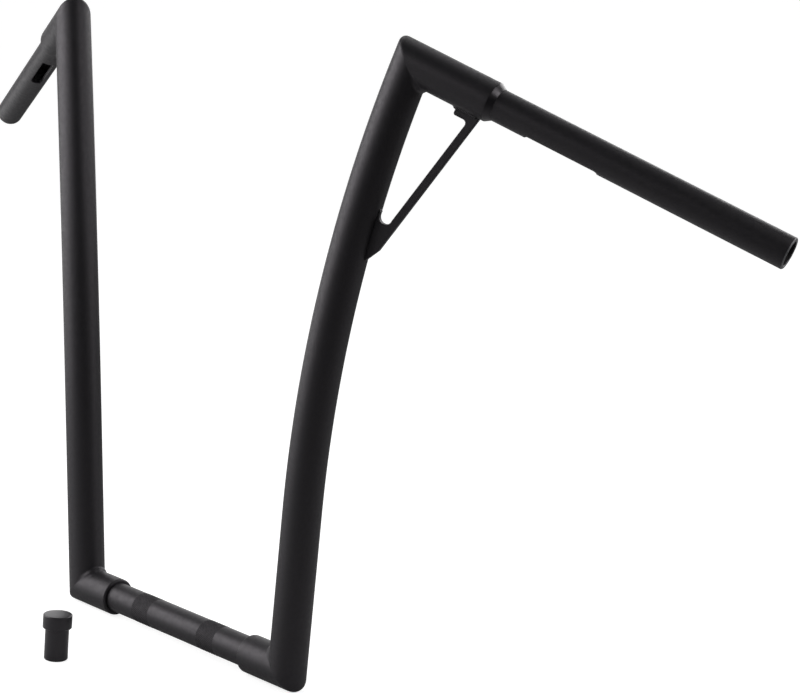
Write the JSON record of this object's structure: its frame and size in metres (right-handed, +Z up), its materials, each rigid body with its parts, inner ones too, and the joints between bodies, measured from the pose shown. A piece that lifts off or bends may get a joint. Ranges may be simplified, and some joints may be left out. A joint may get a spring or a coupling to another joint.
{
  "type": "motorcycle handlebar",
  "caption": "Tall mitre-welded motorcycle handlebar with bent uprights, braced collars, slotted grip tubes and a bar-end plug.",
  "frame": {"origin": "middle of the clamp tube, on its axis", "axes": "+X along the clamp tube to the rider's left, +Y back to the rider, +Z up"},
  "size_m": [0.998, 0.2775, 0.5321],
  "materials": {
    "powder_coat": "satin black powder coat, fine texture",
    "plug": "satin black anodised"
  },
  "bodies": {
    "root": {"clamp_tube": "powder_coat", "lower_sleeve_left": "powder_coat", "lower_sleeve_right": "powder_coat", "upright_left": "powder_coat", "upright_right": "powder_coat", "upper_collar_left": "powder_coat", "upper_collar_right": "powder_coat", "grip_tube_left": "powder_coat", "grip_tube_right": "powder_coat", "brace_left": "powder_coat", "brace_right": "powder_coat", "bar_end_plug": "plug"}
  },
  "joints": []
}
